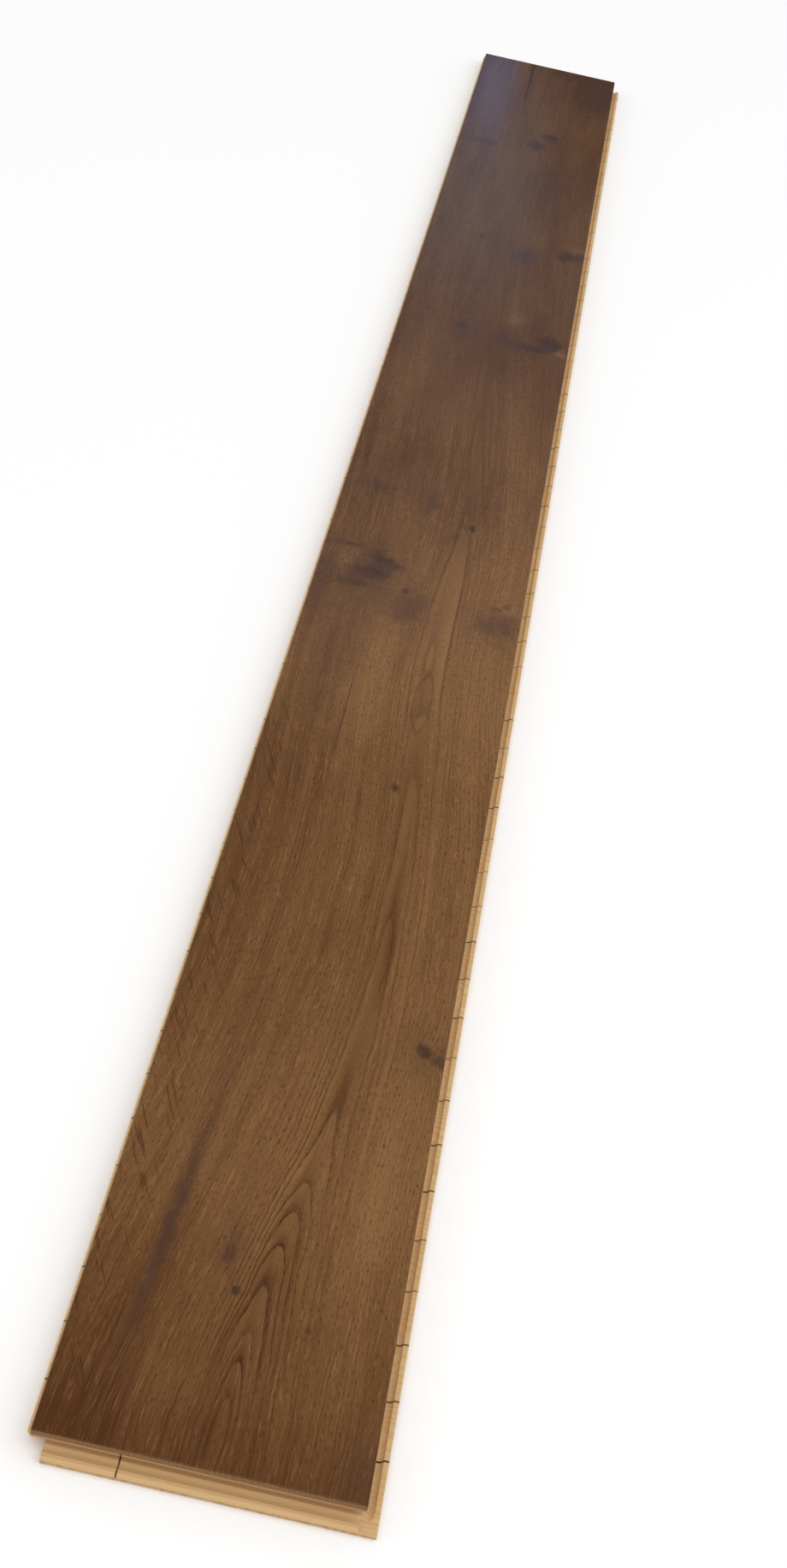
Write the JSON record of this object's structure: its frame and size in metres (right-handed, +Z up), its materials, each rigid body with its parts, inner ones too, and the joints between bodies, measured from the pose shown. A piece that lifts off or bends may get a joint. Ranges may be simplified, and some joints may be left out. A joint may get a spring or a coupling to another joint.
{
  "type": "parquet board",
  "caption": "Long engineered oak floor board: oak wear layer, cross-laid softwood core and back veneer, with a click groove and lip along the right edge and near end, and tongues opposite.",
  "frame": {"origin": "on the floor, under the middle of the board with its lips and tongues", "axes": "+Y along the board from its grooved end to its tongued end, +X across it towards the grooved long edge, +Z up out of the oak face"},
  "size_m": [0.171, 2.2116, 0.014],
  "materials": {
    "oak_face": "satin",
    "softwood_core": "matte",
    "softwood_back": "matte"
  },
  "bodies": {
    "root": {"wear_layer": "oak_face", "core_slats": "softwood_core", "back_veneer": "softwood_back"}
  },
  "joints": []
}
